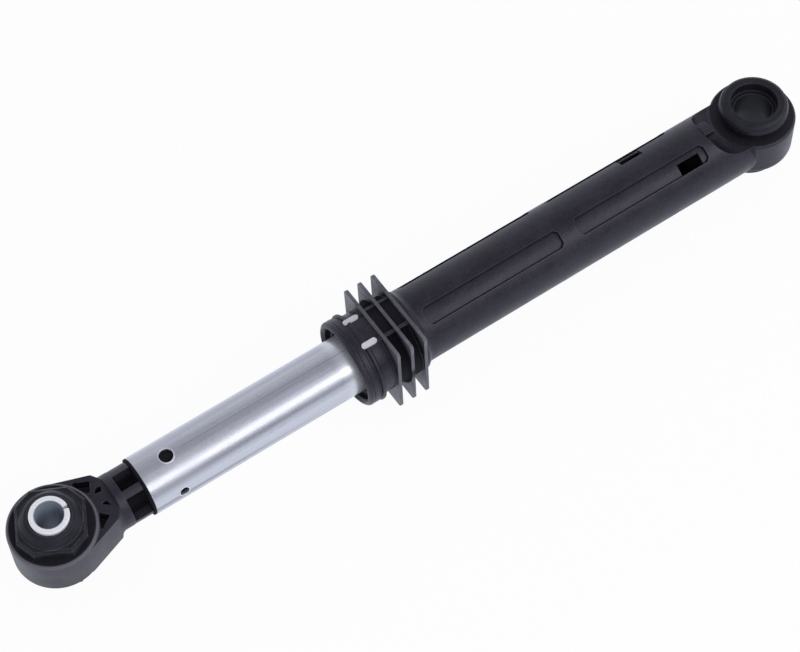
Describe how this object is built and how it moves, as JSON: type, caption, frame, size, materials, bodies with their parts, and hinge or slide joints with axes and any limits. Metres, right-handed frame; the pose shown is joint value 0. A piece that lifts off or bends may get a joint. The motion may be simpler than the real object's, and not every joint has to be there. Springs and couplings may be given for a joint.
{
  "type": "washing machine shock absorber",
  "caption": "Friction shock absorber for a washing machine tub: steel tube plunger sliding in a finned black housing, with a rubber bushed eye at each end.",
  "frame": {"origin": "centre of the plunger eye at rest, on the axis of the tube", "axes": "+X along the tube from the plunger eye to the housing eye, +Z along the axis of the housing eye, -Y towards the viewer of the reference"},
  "size_m": [0.3011, 0.0312, 0.0352],
  "materials": {
    "housing_plastic": "black moulded plastic, fine grain",
    "ring_plastic": "black moulded plastic",
    "carrier_plastic": "pale moulded plastic",
    "lining_felt": "dense greased felt",
    "tube_steel": "zinc plated drawn steel, satin",
    "guide_plastic": "natural slide plastic",
    "cap_plastic": "black moulded plastic, fine grain",
    "plunger_rubber": "black moulded rubber",
    "sleeve_steel": "rolled steel, satin",
    "housing_rubber": "black moulded rubber"
  },
  "bodies": {
    "housing_body": {"housing": "housing_plastic", "mouth_ring": "ring_plastic", "lining_carrier": "carrier_plastic", "friction_lining": "lining_felt", "housing_bush": "housing_rubber"},
    "guide_body": {"guide_ring": "guide_plastic"},
    "plunger_body": {"rod_tube": "tube_steel", "rod_cap": "cap_plastic", "plunger_bush": "plunger_rubber", "plunger_sleeve": "sleeve_steel"}
  },
  "joints": [
    {"name": "plunger_slide", "type": "slide", "parent": "housing_body", "child": "guide_body", "axis": [1, 0, 0], "range_m": [-0.0075, 0.09]},
    {"name": "plunger_spin", "type": "hinge", "parent": "guide_body", "child": "plunger_body", "pos_m": [0.1, 0, 0], "axis": [1, 0, 0], "continuous": true}
  ]
}
